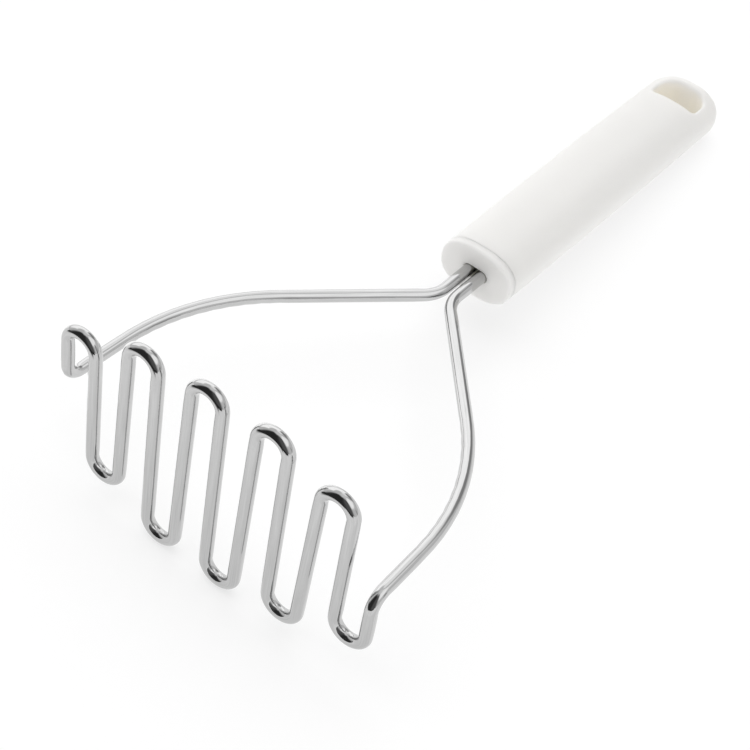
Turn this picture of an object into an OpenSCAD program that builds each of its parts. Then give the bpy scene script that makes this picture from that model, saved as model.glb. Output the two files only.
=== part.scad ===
// Wire potato masher, lying on the low bends of its face and on the underside of its handle.
// +X runs across the face, +Y from the face towards the hang hole, +Z is up, z = 0 is the table.

/* [Masher face] */
// Diameter of the stainless wire
wire_d = 4; // [3:0.1:4.5]
// Distance between neighbouring runs of the face
run_pitch = 11; // [10.5:0.1:14]
// Centreline radius of the U bends that join the runs
bend_r = 5.2; // [4.5:0.1:5.25]
// Height of the top bend centres above the arms, from left to right
top_1 = 15.1; // [10:0.1:30]
top_2 = 24.7; // [10:0.1:40]
top_3 = 27.4; // [10:0.1:40]
top_4 = 28.1; // [10:0.1:40]
top_5 = 22.6; // [10:0.1:40]
// Depth of the low bend centres below the arms, from left to right
low_1 = 23.3; // [10:0.1:40]
low_2 = 31.4; // [20:0.1:40]
low_3 = 31.0; // [10:0.1:40]
low_4 = 25.9; // [10:0.1:40]
low_5 = 15.8; // [10:0.1:30]

/* [Arms] */
// Half of the distance between the arms where they leave the face
arm_half_w = 54.3; // [54:0.1:54.5]
// Centreline radius of the bend from the face into each arm
corner_r = 4.8; // [3:0.1:8]
// Distance behind the face at which the arms turn inwards
arm_turn_y = 48; // [40:0.5:55]
// Half of the distance between the arms at that turn
arm_turn_half_w = 53; // [50:0.1:54]
// Centreline radius of the long bend at the turn
arm_turn_r = 72; // [30:1:75]
// Distance behind the face at which the arms meet
neck_y = 103.8; // [100:0.1:108]
// Centreline radius of the bends at the neck
neck_r = 11.5; // [3:0.1:14]
// Distance between the two tails of the wire
tail_gap = 4.7; // [4.6:0.1:6.5]
// Length of each tail inside the handle
tail_len = 84; // [50:1:90]

/* [Handle] */
// Distance from the face to the front of the handle
handle_y = 120.4; // [115:0.1:130]
// Length of the whole handle
handle_len = 134.6; // [120:0.1:145]
// Width of the handle at its front
handle_w = 26.2; // [22:0.1:30]
// Width of the handle at the hang hole end
handle_end_w = 27.2; // [22:0.1:30]
// Thickness of the handle at its front
handle_t = 18.1; // [16:0.1:22]
// Thickness of the handle at the hang hole end
handle_end_t = 15.9; // [14:0.1:20]
// How much fuller than a straight taper the handle is at the middle of its length, as a fraction
handle_belly = 0.03; // [0:0.005:0.05]
// Squareness of the oval section, where 2 is an ellipse
section_power = 2.5; // [2:0.1:3.5]
// Length over which the outline rounds off at the hang hole end
nose_len = 9.3; // [6:0.1:12]
// Radius of the upper and lower edges at the hang hole end
nose_edge_r = 4.5; // [3:0.1:5]

/* [End cap] */
// Thickness of the cap's flange in front of the shell
flange_t = 2.9; // [2:0.1:4]
// Radius of the flange's front edge
flange_edge_r = 0.8; // [0.3:0.1:1]
// Depth of the slot around the two tails
slot_depth = 12; // [4:0.5:20]
// Clearance of the slot around the tails
slot_clearance = 0.15; // [0.1:0.05:0.5]
// Length of the cap's stem inside the shell
stem_len = 92; // [60:1:100]
// Width of the stem
stem_w = 18; // [16:0.5:19]
// Thickness of the stem
stem_t = 9; // [8:0.5:10]

/* [Hang hole] */
// Distance from the front edge of the hole to the end of the handle
hole_setback = 17.5; // [16:0.1:22]
// Width of the hole
hole_w = 17; // [12:0.1:18]
// Length of the hole along the handle
hole_len = 11.2; // [8:0.1:12]
// Radius of the hole's front corners
hole_front_r = 1.8; // [1:0.1:3]
// Radius of the hole's rear corners
hole_rear_r = 5.8; // [4:0.1:6]

/* [Hidden] */
$fn = 64;

wire_r = wire_d / 2;
// The wire stretches a little thinner in its bends, and each straight laps into the bends beside it.
bend_wire_d = wire_d - 0.1;
lap = 0.4;
tops = [top_1, top_2, top_3, top_4, top_5];
lows = [low_1, low_2, low_3, low_4, low_5];
bends = len(tops) + len(lows);
handle_end_y = handle_y + handle_len;
shell_y = handle_y + flange_t;
tail_x = tail_gap / 2;

// The tails are pressed flat at their ends, which keeps them in the cap's stem.
coin_len = 12;
coin_w = 4.5;
coin_t = 3.2;

stem_end_y = shell_y + stem_len;
stem_clearance = 0.1;
cavity_end_y = stem_end_y + 4;
hole_y = handle_end_y - hole_setback;

// The handle's outline is drawn through this many sections and this many points on each.
taper_sections = 6;
nose_sections = 9;
section_points = 56;
nose_power = 2.5;

// The lowest bend and the underside of the nose touch the table: a line tangent to both circles.
foot_z = -(max(lows) + bend_r);
nose_z = -(handle_end_t / 2 - nose_edge_r);
nose_y = handle_end_y - nose_edge_r;
foot_to_nose = norm([nose_y, nose_z - foot_z]);
lie_angle = atan2(nose_z - foot_z, nose_y) - asin((nose_edge_r - wire_r) / foot_to_nose);
lift = wire_r - foot_z * cos(lie_angle);
front_y = foot_z * sin(lie_angle) - wire_r;
back_y = nose_y * cos(lie_angle) - nose_z * sin(lie_angle) + nose_edge_r;

function unit(v) = v / norm(v);
function across(v) = [-v.y, v.x];

// Centre of bend i in the face, counted from the left: even ones are top bends.
function bend_centre(i) = [
    (i - (bends - 1) / 2) * run_pitch,
    i % 2 == 0 ? tops[i / 2] : -lows[(i - 1) / 2]
];

// Direction from a bend's centre to the point where a wire towards a target leaves it,
// on the side given by its sign in x; reach is the distance of the wire from the line of centres.
function leaving(centre, target, reach, side) =
    let (u = unit(target - centre))
    let (s = reach / norm(target - centre))
    let (a = u * s + across(u) * sqrt(1 - s * s))
    let (b = u * s - across(u) * sqrt(1 - s * s))
    sign(a.x) == side ? a : b;

// Direction from bend i to the run on its right, or to the right arm after the last bend.
function right_of(i) = i < bends - 1
    ? leaving(bend_centre(i), bend_centre(i + 1), 2 * bend_r, 1)
    : leaving(bend_centre(i), [arm_half_w, 0], bend_r, 1);

// Direction from bend i to the run on its left, or to the left arm before the first bend.
function left_of(i) = i > 0
    ? -right_of(i - 1)
    : leaving(bend_centre(i), [-arm_half_w, 0], bend_r, -1);

function in_face(p) = [p.x, 0, p.y];

// Corner points of one arm from the face to the end of its tail, on the side given by a sign.
function arm_corners(side, start) = [
    start,
    [side * arm_half_w, 0, 0],
    [side * arm_turn_half_w, arm_turn_y, 0],
    [side * tail_x, neck_y, 0],
    [side * tail_x, handle_y + tail_len - coin_len, 0]
];
arm_radii = [corner_r, arm_turn_r, neck_r];

// Angle that the wire turns through at corner b, and the length that its bend takes off each side.
function turn_at(a, b, c) = 180 - acos(unit(a - b) * unit(c - b));
function trim_at(a, b, c, r) = r * tan(turn_at(a, b, c) / 2);

// Places children so that their X, Y and Z axes lie along the given directions.
module aligned(origin, x, y, z) {
    multmatrix([
        [x.x, y.x, z.x, origin.x],
        [x.y, y.y, z.y, origin.y],
        [x.z, y.z, z.z, origin.z],
        [0, 0, 0, 1]
    ]) children();
}

// A straight length of wire.
module straight(a, b) {
    v = unit(b - a);
    side = unit(abs(v.x) < 0.9 ? cross(v, [1, 0, 0]) : cross(v, [0, 1, 0]));
    aligned(a - v * lap, side, cross(v, side), v) cylinder(h = norm(b - a) + 2 * lap, d = wire_d);
}

// A bend of the wire at corner b, between straights that come from a and go to c.
module corner(a, b, c, r) {
    from_a = unit(a - b);
    to_c = unit(c - b);
    turn = turn_at(a, b, c);
    centre = b + unit(from_a + to_c) * r / cos(turn / 2);
    out = unit(b + from_a * trim_at(a, b, c, r) - centre);
    aligned(centre, out, -from_a, cross(out, -from_a))
        rotate_extrude(angle = turn) translate([r, 0]) circle(d = bend_wire_d);
}

// A U bend of the face between two directions from its centre, over the top or under the bottom.
module u_bend(i) {
    first = i % 2 == 0 ? right_of(i) : left_of(i);
    last = i % 2 == 0 ? left_of(i) : right_of(i);
    start = atan2(first.y, first.x);
    sweep = (atan2(last.y, last.x) - start + 720) % 360;
    c = bend_centre(i);
    aligned([c.x, 0, c.y], [1, 0, 0], [0, 0, 1], [0, -1, 0])
        rotate([0, 0, start])
        rotate_extrude(angle = sweep) translate([bend_r, 0]) circle(d = bend_wire_d);
}

// One arm: the wire from the last bend of the face to the end of its tail.
module arm(side, start) {
    p = arm_corners(side, start);
    last = len(p) - 1;
    cut = [for (i = [0 : last])
        i == 0 || i == last ? 0 : trim_at(p[i - 1], p[i], p[i + 1], arm_radii[i - 1])];
    for (i = [0 : last - 1]) {
        along = unit(p[i + 1] - p[i]);
        straight(p[i] + along * cut[i], p[i + 1] - along * cut[i + 1]);
    }
    for (i = [1 : last - 1]) {
        corner(p[i - 1], p[i], p[i + 1], arm_radii[i - 1]);
    }
    coined_end(side);
}

// The flattened end of a tail.
module coined_end(side) {
    translate([side * tail_x, handle_y + tail_len - coin_len, 0])
        rotate([-90, 0, 0])
        intersection() {
            cylinder(h = coin_len, d = coin_w);
            translate([-coin_w, -coin_t / 2, 0]) cube([2 * coin_w, coin_t, coin_len]);
        }
}

// Half width and half thickness of the handle at a distance y from the face.
function full_at(y) =
    let (u = (y - handle_y) / handle_len)
    1 + 4 * handle_belly * u * (1 - u);
function mix_at(y, front, end) = front + (end - front) * (y - handle_y) / handle_len;
function nose_at(y, length) = max(0, 1 - (handle_end_y - y) / length);
function half_w(y) =
    mix_at(y, handle_w, handle_end_w) / 2 * full_at(y)
    * pow(1 - pow(nose_at(y, nose_len), nose_power), 1 / nose_power);
function half_t(y) =
    mix_at(y, handle_t, handle_end_t) / 2 * full_at(y)
    - nose_edge_r * (1 - sqrt(1 - pow(nose_at(y, nose_edge_r), 2)));

// A thin slice of the handle at y, drawn in by inset.
module section(y, inset = 0) {
    a = half_w(y) - inset;
    b = half_t(y) - inset;
    step = 360 / section_points;
    power = 2 / section_power;
    translate([0, y, 0]) rotate([90, 0, 0]) linear_extrude(height = 0.01)
        polygon([for (t = [0 : step : 360 - step])
            [a * sign(cos(t)) * pow(abs(cos(t)), power),
             b * sign(sin(t)) * pow(abs(sin(t)), power)]]);
}

// A bar with round sides that fills the shell's cavity, from one y to another.
module stem_bar(y0, y1, grow = 0) {
    w = stem_w + 2 * grow;
    t = stem_t + 2 * grow;
    translate([0, y0, 0]) rotate([-90, 0, 0]) {
        translate([-(w - t) / 2, -t / 2, 0]) cube([w - t, t, y1 - y0]);
        for (side = [-1, 1]) {
            translate([side * (w - t) / 2, 0, 0]) cylinder(h = y1 - y0, d = t);
        }
    }
}

// The space that the two tails take in the stem.
module tail_bores() {
    for (side = [-1, 1]) {
        translate([side * tail_x, handle_y, 0]) rotate([-90, 0, 0])
            cylinder(h = tail_len - coin_len, d = wire_d);
        coined_end(side);
    }
}

// The opening in the cap around both tails.
module slot() {
    d = wire_d + 2 * slot_clearance;
    translate([0, handle_y - 1, 0]) rotate([-90, 0, 0]) {
        translate([-tail_x, -d / 2, 0]) cube([tail_gap, d, slot_depth + 1]);
        for (side = [-1, 1]) {
            translate([side * tail_x, 0, 0]) cylinder(h = slot_depth + 1, d = d);
        }
    }
}

// Outline of the hang hole: straight at the front, full at the rear.
module hole_outline() {
    x_front = hole_w / 2 - hole_front_r;
    x_rear = hole_w / 2 - hole_rear_r;
    y_rear = hole_len - hole_rear_r;
    polygon([
        [-x_front, 0], [x_front, 0],
        [hole_w / 2, hole_front_r], [hole_w / 2, y_rear],
        [x_rear, hole_len], [-x_rear, hole_len],
        [-hole_w / 2, y_rear], [-hole_w / 2, hole_front_r]
    ]);
    for (side = [-1, 1]) {
        translate([side * x_front, hole_front_r]) circle(r = hole_front_r);
        translate([side * x_rear, y_rear]) circle(r = hole_rear_r);
    }
}

// Lays the masher down on the table, centred on its length.
module lying() {
    translate([0, -(front_y + back_y) / 2, lift]) rotate([-lie_angle, 0, 0]) children();
}

// The whole masher is one bent wire: left tail and arm, eleven runs, right arm and tail.
module masher_wire() {
    color("silver") lying() {
        for (i = [0 : bends - 1]) {
            u_bend(i);
        }
        for (i = [0 : bends - 2]) {
            straight(
                in_face(bend_centre(i) + bend_r * right_of(i)),
                in_face(bend_centre(i + 1) + bend_r * left_of(i + 1))
            );
        }
        arm(-1, in_face(bend_centre(0) + bend_r * left_of(0)));
        arm(1, in_face(bend_centre(bends - 1) + bend_r * right_of(bends - 1)));
    }
}

// Moulded cap that carries the tails: a flange in front of the shell and a stem inside it.
module end_cap() {
    color("white") lying() difference() {
        union() {
            hull() {
                for (a = [0 : 30 : 90]) {
                    section(handle_y + 0.01 + flange_edge_r * (1 - sin(a)), flange_edge_r * (1 - cos(a)));
                }
                section(shell_y);
            }
            stem_bar(shell_y, stem_end_y);
        }
        slot();
        tail_bores();
    }
}

// Hollow moulded shell with the hang hole through its closed end.
module handle_shell() {
    color("whitesmoke") lying() difference() {
        hull() {
            for (i = [0 : taper_sections]) {
                section(shell_y + 0.01 + (handle_end_y - nose_len - shell_y) * i / taper_sections);
            }
            for (i = [1 : nose_sections]) {
                section(handle_end_y - nose_len * (1 - sin(89 * i / nose_sections)));
            }
        }
        stem_bar(shell_y - 1, cavity_end_y, stem_clearance);
        translate([0, hole_y, -handle_t]) linear_extrude(height = 2 * handle_t) hole_outline();
    }
}

masher_wire();
end_cap();
handle_shell();
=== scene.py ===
"""Wire potato masher: one polished bent wire in a white moulded handle, lying on a white table."""

from math import asin, atan2, cos, pi, radians, sin, sqrt, tan

import bpy
from mathutils import Matrix, Vector


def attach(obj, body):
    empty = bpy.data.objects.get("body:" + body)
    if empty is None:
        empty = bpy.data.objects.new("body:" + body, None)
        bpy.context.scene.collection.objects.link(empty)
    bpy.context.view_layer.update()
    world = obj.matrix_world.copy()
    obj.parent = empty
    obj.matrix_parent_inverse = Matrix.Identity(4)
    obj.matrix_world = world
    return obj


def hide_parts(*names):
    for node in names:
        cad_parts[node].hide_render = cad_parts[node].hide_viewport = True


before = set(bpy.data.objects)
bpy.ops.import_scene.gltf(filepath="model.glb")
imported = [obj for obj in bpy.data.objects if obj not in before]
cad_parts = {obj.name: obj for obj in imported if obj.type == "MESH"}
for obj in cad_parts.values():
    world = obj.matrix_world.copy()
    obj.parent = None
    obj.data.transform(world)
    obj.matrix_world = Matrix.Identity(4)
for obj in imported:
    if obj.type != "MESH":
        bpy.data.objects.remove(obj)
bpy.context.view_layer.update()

MM = 0.001

# ---------------------------------------------------------------- the design's dimensions, in mm
# The masher's own frame: x across the face, y from the face to the handle, z along the runs.
WIRE_R = 2.0
RUN_PITCH = 11.0
BEND_R = 5.2
TOPS = (15.1, 24.7, 27.4, 28.1, 22.6)
LOWS = (23.3, 31.4, 31.0, 25.9, 15.8)

ARM_HALF_W = 54.3
CORNER_R = 4.8
ARM_TURN = (53.0, 48.0)
ARM_TURN_R = 72.0
NECK_Y = 103.8
NECK_R = 11.5
TAIL_X = 2.35
TAIL_LEN = 84.0
# The wire stretches a little thinner in its bends.
BENT_R = 1.93
BEND_STEPS = 44
WIRE_AROUND = 36
COIN_LEN = 12.0
COIN_HALF_W = 2.25
COIN_HALF_T = 1.6

HANDLE_Y = 120.4
HANDLE_LEN = 134.6
HANDLE_END_Y = HANDLE_Y + HANDLE_LEN
FRONT_HALF = (13.1, 9.05)
END_HALF = (13.6, 7.95)
BELLY = 0.03
SECTION_POWER = 2.5
NOSE_LEN = 9.3
NOSE_POWER = 2.5
NOSE_EDGE_R = 4.5
# The visual handle stays this far inside the design's outline.
SKIN = 0.05

FLANGE_T = 2.9
FLANGE_MID = 1.5
FLANGE_EDGE_R = 0.8
SEAM_EDGE_R = 0.12
SLOT_DEPTH = 12.0
SLOT_HALF_H = 2.15
SLOT_EDGE_R = 0.15
STEM_HALF = (9.0, 4.5)
STEM_LEN = 92.0
# The shell's cavity is this much wider and longer than the stem.
CAVITY_GAP = 0.1
CAVITY_SPARE = 4.0
# Width of the flat ring inside the seam's edges.
SEAM_RING = 1.0

HOLE_Y = HANDLE_END_Y - 17.5
HOLE_HALF_W = 8.5
HOLE_LEN = 11.2
HOLE_FRONT_R = 1.8
HOLE_REAR_R = 5.8
HOLE_EDGE_R = 1.4
HOLE_CENTRE = Vector((0, HOLE_Y + HOLE_LEN / 2))

# The shell is lofted up to this y. From there a patch runs round the hole and the nose.
PATCH_Y = HOLE_Y - 6
PATCH_ROWS = 16
BODY_STEPS = 40
NOSE_STEPS = 90
AROUND = 96


# ---------------------------------------------------------------- from the masher's frame to the table
def lying():
    """The placement that lays the masher on its lowest bend and on the underside of its nose."""
    foot_z = -(max(LOWS) + BEND_R)
    nose_z = NOSE_EDGE_R - END_HALF[1]
    nose_y = HANDLE_END_Y - NOSE_EDGE_R
    reach = sqrt(nose_y ** 2 + (nose_z - foot_z) ** 2)
    angle = atan2(nose_z - foot_z, nose_y) - asin((NOSE_EDGE_R - WIRE_R) / reach)
    front = foot_z * sin(angle) - WIRE_R
    back = nose_y * cos(angle) - nose_z * sin(angle) + NOSE_EDGE_R
    lift = WIRE_R - foot_z * cos(angle)
    move = Matrix.Translation(Vector((0, -(front + back) / 2, lift)) * MM)
    return move @ Matrix.Rotation(-angle, 4, "X") @ Matrix.Scale(MM, 4)


def add_piece(name, verts, faces, material, slot, *nodes, marks=None):
    """A mesh in the masher's frame becomes a smooth piece on the table, in place of CAD nodes."""
    mesh = bpy.data.meshes.new(name)
    mesh.from_pydata(verts, [], faces)
    if marks:
        layer = mesh.uv_layers.new(name="drawn")
        for loop, place in zip(mesh.loops, layer.data):
            place.uv = marks[loop.vertex_index]
    mesh.transform(lying())
    mesh.validate()
    mesh.shade_smooth()
    mesh.materials.append(material)
    piece = bpy.data.objects.new(name, mesh)
    bpy.context.collection.objects.link(piece)
    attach(piece, "root")
    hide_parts(*nodes)
    return piece


# ---------------------------------------------------------------- the wire
def bend_centre(i):
    """Centre of bend i of the face, counted from the left: even ones are top bends."""
    x = (i - (len(TOPS) + len(LOWS) - 1) / 2) * RUN_PITCH
    return Vector((x, TOPS[i // 2] if i % 2 == 0 else -LOWS[i // 2]))


def leaving(centre, target, reach, side):
    """Direction from a bend's centre to where a wire towards the target leaves it."""
    u = (target - centre).normalized()
    s = reach / (target - centre).length
    across = Vector((-u.y, u.x)) * sqrt(1 - s * s)
    a, b = u * s + across, u * s - across
    return a if a.x * side > 0 else b


def face_line():
    """Centreline of the face, from the left arm to the right one."""
    bends = len(TOPS) + len(LOWS)
    right = [leaving(bend_centre(i), bend_centre(i + 1), 2 * BEND_R, 1) for i in range(bends - 1)]
    right.append(leaving(bend_centre(bends - 1), Vector((ARM_HALF_W, 0)), BEND_R, 1))
    left = [leaving(bend_centre(0), Vector((-ARM_HALF_W, 0)), BEND_R, -1)]
    left += [-r for r in right[:-1]]
    points = []
    for i in range(bends):
        start, end = atan2(left[i].y, left[i].x), atan2(right[i].y, right[i].x)
        turn = -((start - end) % (2 * pi)) if i % 2 == 0 else (end - start) % (2 * pi)
        c = bend_centre(i)
        for k in range(BEND_STEPS + 1):
            a = start + turn * k / BEND_STEPS
            points.append(Vector((c.x + BEND_R * cos(a), 0, c.y + BEND_R * sin(a))))
    return points


def rounded(corners, radii, step=radians(4)):
    """A line through corners, with an arc of the given radius at each inner one."""
    points = [corners[0]]
    for a, b, c, r in zip(corners, corners[1:], corners[2:], radii):
        to_a, to_c = (a - b).normalized(), (c - b).normalized()
        turn = pi - to_a.angle(to_c)
        centre = b + (to_a + to_c).normalized() * r / cos(turn / 2)
        out = (b + to_a * r * tan(turn / 2) - centre) / r
        steps = max(6, int(turn / step))
        for k in range(steps + 1):
            t = turn * k / steps
            points.append(centre + r * (out * cos(t) - to_a * sin(t)))
    return points + [corners[-1]]


def arm_line(side, start):
    """Centreline from the face's end to the end of the tail on one side."""
    corners = [
        start,
        Vector((side * ARM_HALF_W, 0, 0)),
        Vector((side * ARM_TURN[0], ARM_TURN[1], 0)),
        Vector((side * TAIL_X, NECK_Y, 0)),
        Vector((side * TAIL_X, HANDLE_Y + TAIL_LEN - COIN_LEN, 0)),
    ]
    line = rounded(corners, (CORNER_R, ARM_TURN_R, NECK_R))
    steps = 6
    for k in range(1, steps + 1):
        line.append(line[-1] + Vector((0, COIN_LEN / steps, 0)))
    return line


def filled_in(points, spacing=3.0):
    """The same line with no gap between points longer than the spacing."""
    out = [points[0]]
    for a, b in zip(points, points[1:]):
        n = max(1, int((b - a).length / spacing + 0.5))
        if (b - a).length < 1e-6:
            continue
        out += [a.lerp(b, k / n) for k in range(1, n + 1)]
    return out


def swept_wire(line):
    """Rings of a tube along the line, flattened where the tails are coined, closed at both ends.

    Each vertex also has a mark: its distance along the wire and its place across it, in mm.
    """
    verts, faces, marks = [], [], []
    around = WIRE_AROUND
    side = Vector((0, 0, 1))
    run = 0.0
    coined_y = HANDLE_Y + TAIL_LEN - COIN_LEN
    for i, p in enumerate(line):
        before, after = line[max(i - 1, 0)], line[min(i + 1, len(line) - 1)]
        along = (after - before).normalized()
        run += (p - before).length
        side = (side - along * side.dot(along)).normalized()
        flat = along.cross(side)
        straight = (after - p).angle(p - before, 0.0) < radians(1)
        radius = WIRE_R if straight else BENT_R
        coined = min(1.0, max(0.0, (p.y - coined_y) / 2))
        half_w = radius + (COIN_HALF_W - radius) * coined
        half_t = radius + (COIN_HALF_T - radius) * coined
        for k in range(around):
            a = 2 * pi * k / around
            verts.append(p + flat * half_w * cos(a) + side * half_t * sin(a))
            marks.append((run, WIRE_R * abs(a - pi)))
    for i in range(len(line) - 1):
        for k in range(around):
            a, b = i * around + k, i * around + (k + 1) % around
            faces.append((a, b, b + around, a + around))
    last = (len(line) - 1) * around
    faces.append(tuple(reversed(range(around))))
    faces.append(tuple(last + k for k in range(around)))
    return verts, faces, marks


def make_wire(material):
    face = face_line()
    left = arm_line(-1, face[0])
    right = arm_line(1, face[-1])
    verts, faces, marks = swept_wire(filled_in(left[::-1] + face + right))
    return add_piece("bent_wire", verts, faces, material, "polished_wire", "masher_wire", marks=marks)


# ---------------------------------------------------------------- the handle's shape
def full_at(y):
    u = (y - HANDLE_Y) / HANDLE_LEN
    return 1 + 4 * BELLY * u * (1 - u)


def mix_at(y, front, end):
    return front + (end - front) * (y - HANDLE_Y) / HANDLE_LEN


def nose_at(y, length):
    return min(1.0, max(0.0, 1 - (HANDLE_END_Y - SKIN - y) / length))


def half_w(y):
    nose = (1 - nose_at(y, NOSE_LEN) ** NOSE_POWER) ** (1 / NOSE_POWER)
    return (mix_at(y, FRONT_HALF[0], END_HALF[0]) * full_at(y) - SKIN) * nose


def half_t(y):
    edge = NOSE_EDGE_R * (1 - sqrt(1 - nose_at(y, NOSE_EDGE_R) ** 2))
    return mix_at(y, FRONT_HALF[1], END_HALF[1]) * full_at(y) - SKIN - edge


def signed_power(v, power):
    return abs(v) ** power * (1 if v > 0 else -1)


def oval(y, inset=0.0):
    """Ring of the handle's section at y, drawn in by inset."""
    ring = []
    for k in range(AROUND):
        t = 2 * pi * k / AROUND
        x = (half_w(y) - inset) * signed_power(cos(t), 2 / SECTION_POWER)
        z = (half_t(y) - inset) * signed_power(sin(t), 2 / SECTION_POWER)
        ring.append(Vector((x, y, z)))
    return ring


def stadium(y, half_width, half_height):
    """Ring with flat top and bottom and round sides, its points in step with an oval's."""
    flat = half_width - half_height
    ring = []
    for k in range(AROUND):
        t = 2 * pi * k / AROUND
        x, z = cos(t), sin(t)
        reach = half_height / max(abs(z), 1e-9)
        if abs(x) * reach > flat:
            across = abs(x) * flat
            reach = across + sqrt(across ** 2 - flat ** 2 + half_height ** 2)
        ring.append(Vector((x * reach, y, z * reach)))
    return ring


def between(a, b, t):
    return [p.lerp(q, t) for p, q in zip(a, b)]


def lofted(rings, verts, faces, close_first=False, close_last=False):
    """Joins rings of AROUND points into a skin, added to verts and faces."""
    start = len(verts)
    for ring in rings:
        verts += ring
    for i in range(len(rings) - 1):
        for k in range(AROUND):
            a, b = start + i * AROUND + k, start + i * AROUND + (k + 1) % AROUND
            faces.append((a, b, b + AROUND, a + AROUND))
    last = start + (len(rings) - 1) * AROUND
    if close_first:
        faces.append(tuple(start + k for k in reversed(range(AROUND))))
    if close_last:
        faces.append(tuple(last + k for k in range(AROUND)))
    return start, last


def edge_steps(radius, steps=5):
    """(set back, inset) pairs round a quarter circle, from the face to the side."""
    turns = [pi / 2 * k / steps for k in range(steps + 1)]
    return [(radius * (1 - sin(t)), radius * (1 - cos(t))) for t in turns]


# ---------------------------------------------------------------- the end cap
def make_cap(material):
    shell_y = HANDLE_Y + FLANGE_T
    slot_half_w = TAIL_X + SLOT_HALF_H
    rings = [
        stadium(shell_y + STEM_LEN, *STEM_HALF),
        stadium(shell_y, *STEM_HALF),
        oval(shell_y, SEAM_EDGE_R + SEAM_RING),
    ]
    rings += [oval(shell_y - back, inset) for back, inset in reversed(edge_steps(SEAM_EDGE_R, 3))]
    rings += [oval(HANDLE_Y + FLANGE_MID)]
    rings += [oval(HANDLE_Y + back, inset) for back, inset in edge_steps(FLANGE_EDGE_R)]
    rim = rings[-1]
    mouth = stadium(HANDLE_Y, slot_half_w + SLOT_EDGE_R, SLOT_HALF_H + SLOT_EDGE_R)
    rings += [between(rim, mouth, t) for t in (0.08, 0.25, 0.5, 0.75, 0.92)]
    for back, inset in edge_steps(SLOT_EDGE_R, 4)[::-1]:
        rings.append(stadium(HANDLE_Y + back, slot_half_w + inset, SLOT_HALF_H + inset))
    rings.append(stadium(HANDLE_Y + SLOT_DEPTH, slot_half_w, SLOT_HALF_H))
    verts, faces = [], []
    lofted(rings, verts, faces, close_first=True, close_last=True)
    return add_piece("front_cap", verts, faces, material, "white_plastic", "end_cap")


# ---------------------------------------------------------------- the handle shell
def hole_inside(x, y):
    """Distance of a point of the plan from the hang hole's outline, negative inside the hole."""
    y_mid = HOLE_Y + HOLE_LEN / 2
    r = HOLE_REAR_R if y > y_mid else HOLE_FRONT_R
    dx, dy = abs(x) - (HOLE_HALF_W - r), abs(y - y_mid) - (HOLE_LEN / 2 - r)
    outside = sqrt(max(dx, 0) ** 2 + max(dy, 0) ** 2)
    return outside + min(max(dx, dy), 0) - r


def handle_outside(x, y):
    """Positive where a point of the plan is outside the handle's outline."""
    width = mix_at(y, FRONT_HALF[0], END_HALF[0]) * full_at(min(y, HANDLE_END_Y)) - SKIN
    nose = max(0.0, 1 - (HANDLE_END_Y - SKIN - y) / NOSE_LEN)
    return (abs(x) / width) ** NOSE_POWER + nose ** NOSE_POWER - 1


def on_ray(centre, direction, inside):
    """The point on a ray in the plan where the function changes from negative to positive."""
    near, far = 0.0, 40.0
    for _ in range(50):
        mid = (near + far) / 2
        p = centre + direction * mid
        if inside(p.x, p.y) < 0:
            near = mid
        else:
            far = mid
    return centre + direction * near


def top_height(x, y):
    """Height of the handle's top over a point of its plan."""
    ratio = min(1.0, abs(x) / max(half_w(y), 1e-6))
    return half_t(y) * (1 - ratio ** SECTION_POWER) ** (1 / SECTION_POWER)


def shell_body(verts, faces):
    """The cavity, the front edge and the body, up to the patch. Returns where its last ring starts."""
    front_y = HANDLE_Y + FLANGE_T
    cavity = [half + CAVITY_GAP for half in STEM_HALF]
    rings = [
        stadium(front_y + STEM_LEN + CAVITY_SPARE, *cavity),
        stadium(front_y, *cavity),
        oval(front_y, SEAM_EDGE_R + SEAM_RING),
    ]
    rings += [oval(front_y + back, inset) for back, inset in reversed(edge_steps(SEAM_EDGE_R, 3))]
    side_y = front_y + 1
    rings += [oval(side_y + (PATCH_Y - side_y) * k / BODY_STEPS) for k in range(BODY_STEPS + 1)]
    _, last_ring = lofted(rings, verts, faces, close_first=True)
    faces[:] = [f[::-1] for f in faces]
    return last_ring


def nose_outline():
    """Points of the plan round the nose, from the body's last ring on +x to the same ring on -x."""
    corner = Vector((half_w(PATCH_Y), PATCH_Y)) - HOLE_CENTRE
    start = atan2(corner.y, corner.x)
    sweep = pi - 2 * start
    angles = [start + sweep * k / NOSE_STEPS for k in range(1, NOSE_STEPS)]
    return [on_ray(HOLE_CENTRE, Vector((cos(a), sin(a))), handle_outside) for a in angles]


def patch_rows(loop):
    """Rows of plan points from the patch's outer loop in to the hole, each with its drop at the edge."""
    directions = [(p - HOLE_CENTRE).normalized() for p in loop]
    rim = [on_ray(HOLE_CENTRE, d, lambda x, y: hole_inside(x, y) - HOLE_EDGE_R) for d in directions]
    hole = [on_ray(HOLE_CENTRE, d, hole_inside) for d in directions]
    rows = []
    for j in range(1, PATCH_ROWS + 1):
        rows.append((between(loop, rim, 1 - cos(pi / 2 * j / PATCH_ROWS)), 0.0))
    for drop, inset in edge_steps(HOLE_EDGE_R, 6)[::-1][1:]:
        rows.append((between(rim, hole, 1 - inset / HOLE_EDGE_R), drop))
    return rows


def patch_half(outer, sign, verts, faces):
    """The top (sign 1) or the underside (sign -1) of the patch. Returns its loop at the hole's wall."""
    previous = outer
    for plan, drop in patch_rows([Vector((verts[i].x, verts[i].y)) for i in outer]):
        row = list(range(len(verts), len(verts) + len(plan)))
        verts += [Vector((p.x, p.y, sign * (top_height(p.x, p.y) - drop))) for p in plan]
        a, b = (row, previous) if sign > 0 else (previous, row)
        for k in range(len(row)):
            n = (k + 1) % len(row)
            faces.append((a[k], a[n], b[n], b[k]))
        previous = row
    return previous


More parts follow.
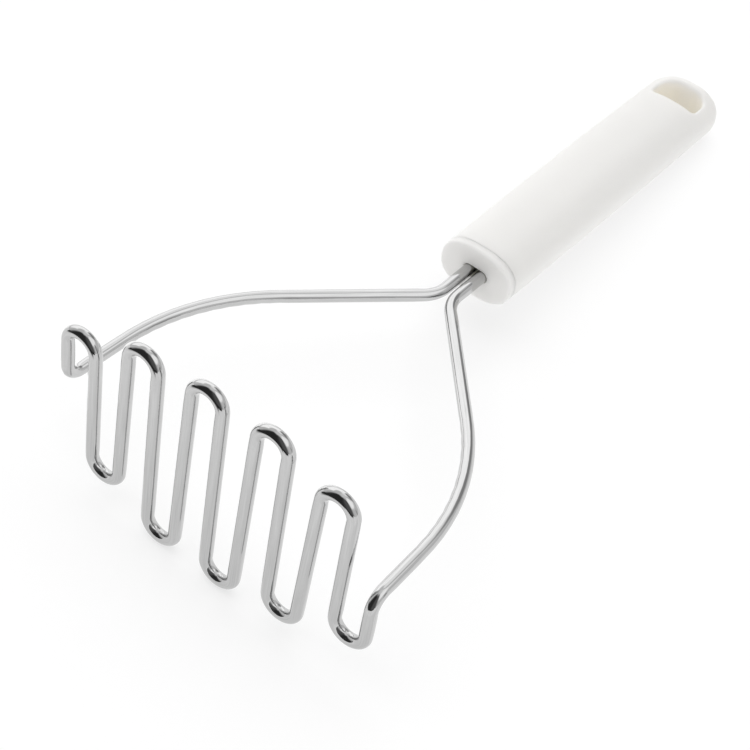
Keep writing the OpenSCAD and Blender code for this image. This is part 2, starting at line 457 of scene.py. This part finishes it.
def hole_wall(top, bottom, verts, faces):
    """The wall of the hang hole between the two halves' inner loops."""
    levels = [top]
    for t in (0.25, 0.5, 0.75):
        levels.append(list(range(len(verts), len(verts) + len(top))))
        verts += [verts[a].lerp(verts[b], t) for a, b in zip(top, bottom)]
    levels.append(bottom)
    for a, b in zip(levels, levels[1:]):
        for k in range(len(a)):
            n = (k + 1) % len(a)
            faces.append((a[k], b[k], b[n], a[n]))


def make_shell(material):
    verts, faces = [], []
    last_ring = shell_body(verts, faces)
    nose = [Vector((p.x, p.y, 0)) for p in nose_outline()]
    nose_ids = list(range(len(verts), len(verts) + len(nose)))
    verts += nose
    inner = []
    for sign in (1, -1):
        outer = [last_ring + (sign * k) % AROUND for k in range(AROUND // 2 + 1)] + nose_ids[::-1]
        inner.append(patch_half(outer, sign, verts, faces))
    hole_wall(*inner, verts, faces)
    return add_piece("handle_grip", verts, faces, material, "white_plastic", "handle_shell")


# ---------------------------------------------------------------- materials
def node_tree(owner):
    owner.use_nodes = True
    owner.node_tree.nodes.clear()
    return owner.node_tree


def add(tree, kind, inputs=None, **settings):
    """A node, with its settings and its inputs given by name, as values or as sockets."""
    node = tree.nodes.new(kind)
    for key, value in settings.items():
        setattr(node, key, value)
    for key, value in (inputs or {}).items():
        if isinstance(value, bpy.types.NodeSocket):
            tree.links.new(value, node.inputs[key])
        else:
            node.inputs[key].default_value = value
    return node


def polished_steel():
    material = bpy.data.materials.new("polished_steel")
    tree = node_tree(material)
    place = add(tree, "ShaderNodeTexCoord").outputs["Object"]
    mottle = add(tree, "ShaderNodeTexNoise", {"Vector": place, "Scale": 220.0, "Detail": 4.0})
    along = add(tree, "ShaderNodeUVMap", uv_map="drawn").outputs["UV"]
    stretched = add(tree, "ShaderNodeMapping", {"Vector": along, "Scale": (0.08, 2.4, 1.0)})
    drawn = add(tree, "ShaderNodeTexNoise", {
        "Vector": stretched.outputs["Vector"], "Scale": 1.0, "Detail": 3.0})
    rough = add(tree, "ShaderNodeMapRange", {
        "Value": mottle.outputs["Fac"], "From Min": 0.3, "From Max": 0.7, "To Min": 0.07, "To Max": 0.11})
    tint = add(tree, "ShaderNodeMix", {
        "Factor": drawn.outputs["Fac"], "A": (0.47, 0.47, 0.47, 1), "B": (0.65, 0.65, 0.65, 1)},
        data_type="RGBA")
    bump = add(tree, "ShaderNodeBump", {
        "Height": drawn.outputs["Fac"], "Strength": 0.05, "Distance": 0.0002})
    shader = add(tree, "ShaderNodeBsdfPrincipled", {
        "Base Color": tint.outputs["Result"], "Metallic": 1.0,
        "Roughness": rough.outputs["Result"], "Normal": bump.outputs["Normal"]})
    out = add(tree, "ShaderNodeOutputMaterial")
    tree.links.new(shader.outputs[0], out.inputs["Surface"])
    return material


def white_plastic():
    material = bpy.data.materials.new("white_plastic")
    tree = node_tree(material)
    place = add(tree, "ShaderNodeTexCoord").outputs["Object"]
    cloud = add(tree, "ShaderNodeTexNoise", {"Vector": place, "Scale": 60.0, "Detail": 3.0})
    tint = add(tree, "ShaderNodeMix", {
        "Factor": cloud.outputs["Fac"], "A": (0.812, 0.803, 0.785, 1), "B": (0.832, 0.823, 0.805, 1)},
        data_type="RGBA")
    # Painted glow: hollows such as the hang hole and the cap's slot get a lighter, warmer colour where
    # ambient occlusion is high. It stands in for light bounced inside them and shining through the plastic.
    recess = add(tree, "ShaderNodeAmbientOcclusion", {"Distance": 0.012}, samples=8, only_local=True)
    painted_glow_share = add(tree, "ShaderNodeMapRange", {
        "Value": recess.outputs["AO"], "From Min": 0.45, "From Max": 0.88, "To Min": 1.0, "To Max": 0.0})
    painted_bounce_glow = add(tree, "ShaderNodeMix", {
        "Factor": painted_glow_share.outputs["Result"], "A": tint.outputs["Result"], "B": (1.0, 0.94, 0.83, 1)},
        data_type="RGBA")
    grain = add(tree, "ShaderNodeTexNoise", {"Vector": place, "Scale": 1600.0, "Detail": 2.0})
    bump = add(tree, "ShaderNodeBump", {
        "Height": grain.outputs["Fac"], "Strength": 0.08, "Distance": 0.0002})
    rough = add(tree, "ShaderNodeMapRange", {"Value": cloud.outputs["Fac"], "To Min": 0.36, "To Max": 0.44})
    shader = add(tree, "ShaderNodeBsdfPrincipled", {
        "Base Color": painted_bounce_glow.outputs["Result"], "Roughness": rough.outputs["Result"],
        "Subsurface Weight": 0.5, "Subsurface Radius": (1.0, 1.0, 1.0), "Subsurface Scale": 0.004,
        "Normal": bump.outputs["Normal"]})
    out = add(tree, "ShaderNodeOutputMaterial")
    tree.links.new(shader.outputs[0], out.inputs["Surface"])
    return material


# ---------------------------------------------------------------- studio
CAMERA_AZIMUTH, CAMERA_ELEVATION, CAMERA_ROLL = radians(33.33), radians(51.16), radians(6.83)
CAMERA_TARGET, CAMERA_DISTANCE = Vector((-0.00466, -0.04569, 0.00833)), 0.52673
CAMERA_LENS = 83.3


def make_camera():
    back = Vector((sin(CAMERA_AZIMUTH) * cos(CAMERA_ELEVATION),
                   -cos(CAMERA_AZIMUTH) * cos(CAMERA_ELEVATION), sin(CAMERA_ELEVATION)))
    level = Vector((0, 0, 1)).cross(back).normalized()
    rise = back.cross(level)
    right = level * cos(CAMERA_ROLL) + rise * sin(CAMERA_ROLL)
    up = rise * cos(CAMERA_ROLL) - level * sin(CAMERA_ROLL)
    data = bpy.data.cameras.new("camera")
    data.sensor_width = 36
    data.lens = CAMERA_LENS
    data.clip_start = 0.01
    camera = bpy.data.objects.new("camera", data)
    place = Matrix((right, up, back)).transposed().to_4x4()
    place.translation = CAMERA_TARGET + back * CAMERA_DISTANCE
    camera.matrix_world = place
    bpy.context.collection.objects.link(camera)
    bpy.context.scene.camera = camera


def make_floor():
    mesh = bpy.data.meshes.new("table_top")
    r = 6.0
    mesh.from_pydata([(-r, -r, 0), (r, -r, 0), (r, r, 0), (-r, r, 0)], [], [(0, 1, 2, 3)])
    material = bpy.data.materials.new("white_table")
    tree = node_tree(material)
    surface = add(tree, "ShaderNodeBsdfDiffuse", {"Color": (0.27, 0.27, 0.27, 1)})
    glow = add(tree, "ShaderNodeEmission", {"Strength": 0.68})
    both = add(tree, "ShaderNodeAddShader")
    tree.links.new(surface.outputs[0], both.inputs[0])
    tree.links.new(glow.outputs[0], both.inputs[1])
    out = add(tree, "ShaderNodeOutputMaterial")
    tree.links.new(both.outputs[0], out.inputs["Surface"])
    mesh.materials.append(material)
    floor = bpy.data.objects.new("table_top", mesh)
    bpy.context.collection.objects.link(floor)
    return floor


# Lit and dark parts of the room: azimuth and elevation of the middle, half width, half height and
# softness of the edge, all in degrees, then brightness. Azimuth 0 is +Y, 90 is +X. Later parts lie
# over earlier ones.
ROOM = (
    (0, 90, 180, 16, 8, 1.1),  # ceiling
    (-52, 26, 42, 19, 8, 1.85),  # softbox behind on the left
    (80, 53, 46, 21, 12, 1.65),  # high softbox on the right
    (-10, 55, 20, 12, 12, 1.5),  # high softbox behind
    (9, 28, 17, 13, 10, 0.4),  # dim gap behind
    (3, 8, 3, 16, 3, 0.35),  # narrow stand behind
    (74, 4, 7, 16, 6, 0.55),  # low stand on the right
    (156, 30, 32, 44, 26, 0.14),  # dark front on the right
    (-156, 28, 32, 42, 24, 0.04),  # dark front on the left
)
ROOM_LEVEL = 0.93
BACKDROP = (1.0, 1.0, 1.0, 1)


def maths(tree, operation, *values):
    node = tree.nodes.new("ShaderNodeMath")
    node.operation = operation
    for socket, value in zip(node.inputs, values):
        if isinstance(value, bpy.types.NodeSocket):
            tree.links.new(value, socket)
        else:
            socket.default_value = value
    return node.outputs[0]


def within(tree, angle, middle, half, soft):
    """1 where an angle in degrees lies within half of the middle, fading to 0 over the soft edge."""
    off = maths(tree, "WRAP", maths(tree, "SUBTRACT", angle, middle), 180.0, -180.0)
    edge = add(tree, "ShaderNodeMapRange", {
        "Value": maths(tree, "ABSOLUTE", off), "From Min": half - soft / 2, "From Max": half + soft / 2,
        "To Min": 1.0, "To Max": 0.0}, interpolation_type="SMOOTHSTEP")
    return edge.outputs["Result"]


def make_world():
    world = bpy.data.worlds.new("studio")
    bpy.context.scene.world = world
    tree = node_tree(world)
    direction = add(tree, "ShaderNodeTexCoord").outputs["Generated"]
    x, y, z = add(tree, "ShaderNodeSeparateXYZ", {"Vector": direction}).outputs
    azimuth = maths(tree, "DEGREES", maths(tree, "ARCTAN2", x, y))
    elevation = maths(tree, "DEGREES", maths(tree, "ARCSINE", z))
    level = ROOM_LEVEL
    for az, el, half_az, half_el, soft, brightness in ROOM:
        inside = maths(tree, "MULTIPLY", within(tree, azimuth, az, half_az, soft),
                       within(tree, elevation, el, half_el, soft))
        mix = add(tree, "ShaderNodeMix", {"Factor": inside, "A": level, "B": brightness})
        level = mix.outputs["Result"]
    room = add(tree, "ShaderNodeBackground", {"Strength": level})
    backdrop = add(tree, "ShaderNodeBackground", {"Color": BACKDROP})
    seen = add(tree, "ShaderNodeLightPath").outputs["Is Camera Ray"]
    both = add(tree, "ShaderNodeMixShader")
    tree.links.new(seen, both.inputs[0])
    tree.links.new(room.outputs[0], both.inputs[1])
    tree.links.new(backdrop.outputs[0], both.inputs[2])
    out = add(tree, "ShaderNodeOutputWorld")
    tree.links.new(both.outputs[0], out.inputs["Surface"])


def receivers(name, objects):
    """A set of objects for a light to be limited to."""
    collection = bpy.data.collections.new(name)
    for item in objects:
        collection.objects.link(item)
    return collection


def make_light(name, kind, place, energy, lit, **settings):
    """A soft light aimed at the origin, only for the given objects and not seen in the steel."""
    data = bpy.data.lights.new(name, kind)
    data.energy = energy
    for key, value in settings.items():
        setattr(data, key, value)
    light = bpy.data.objects.new(name, data)
    light.location = place
    light.rotation_euler = (-light.location).to_track_quat("-Z", "Y").to_euler()
    light.visible_glossy = False
    light.light_linking.receiver_collection = lit
    bpy.context.collection.objects.link(light)


# Outlines of the cards just above the table, in metres. The cards are painted reflections: only reflections
# show them, and they neither light nor shade anything. The cards lie clear of each other.
DARK_REFLECTION_CARD = (
    (-0.01, -0.2), (0.03, -0.36), (0.35, -0.46), (6.0, -6.0), (-6.0, -6.0), (-5.0, -2.8), (-0.2, -0.2))
GREY_REFLECTION_CARD = ((-0.075, -0.195), (0.3, -0.195), (0.3, -0.125), (-0.075, -0.125))
BRIGHT_REFLECTION_CARD = ((-0.08, -0.13), (-0.06, 0.04), (-0.3, 0.5), (-1.2, 1.2), (-1.6, -0.1))
CARD_Z = 0.0005


def make_reflection_card(name, outline, near_y, far_y, brightness):
    """A card on the table which only reflections show, a painted reflection that lights and shades nothing,
    fading in from near_y to far_y.
    """
    mesh = bpy.data.meshes.new(name)
    mesh.from_pydata([(x, y, CARD_Z) for x, y in outline], [], [tuple(range(len(outline)))])
    material = bpy.data.materials.new(name)
    tree = node_tree(material)
    place = add(tree, "ShaderNodeTexCoord").outputs["Object"]
    y = add(tree, "ShaderNodeSeparateXYZ", {"Vector": place}).outputs["Y"]
    fade = add(tree, "ShaderNodeMapRange", {
        "Value": y, "From Min": near_y, "From Max": far_y}, interpolation_type="SMOOTHSTEP")
    clear = add(tree, "ShaderNodeBsdfTransparent")
    glow = add(tree, "ShaderNodeEmission", {"Strength": brightness})
    both = add(tree, "ShaderNodeMixShader")
    tree.links.new(fade.outputs["Result"], both.inputs[0])
    tree.links.new(clear.outputs[0], both.inputs[1])
    tree.links.new(glow.outputs[0], both.inputs[2])
    out = add(tree, "ShaderNodeOutputMaterial")
    tree.links.new(both.outputs[0], out.inputs["Surface"])
    mesh.materials.append(material)
    card = bpy.data.objects.new(name, mesh)
    bpy.context.collection.objects.link(card)
    card.visible_camera = False
    card.visible_diffuse = False
    card.visible_shadow = False


make_camera()
steel, plastic = polished_steel(), white_plastic()
pieces = receivers("lit_pieces", (make_wire(steel), make_cap(plastic), make_shell(plastic)))
table = receivers("lit_table", (make_floor(),))
# Painted dark reflection: a near-black card that darkens what the bends reflect of the table in front,
# standing in for the dark room on the camera side.
make_reflection_card("painted_dark_reflection", DARK_REFLECTION_CARD, near_y=-0.2, far_y=-0.3, brightness=0.03)
# Painted shade in the reflections: a grey card that darkens the table which the lower runs of the face
# reflect.
make_reflection_card("painted_grey_reflection", GREY_REFLECTION_CARD, near_y=-0.185, far_y=-0.135, brightness=0.88)
# Painted bright reflection: a card brighter than the table on the masher's left, which only reflections
# show.
make_reflection_card("painted_bright_reflection", BRIGHT_REFLECTION_CARD, near_y=-1.0, far_y=-0.9, brightness=1.45)
make_world()
make_light("fill", "AREA", place=(0.0, -1.1, 0.55), energy=6.8, lit=pieces, size=0.9)
make_light("key", "AREA", place=(-0.8, 0.45, 0.9), energy=2.6, lit=pieces, size=0.6)
make_light("overhead", "SUN", place=(-0.15, 0.1, 1.0), energy=1.6, lit=table, angle=radians(60))
bpy.context.scene.view_settings.view_transform = "Standard"
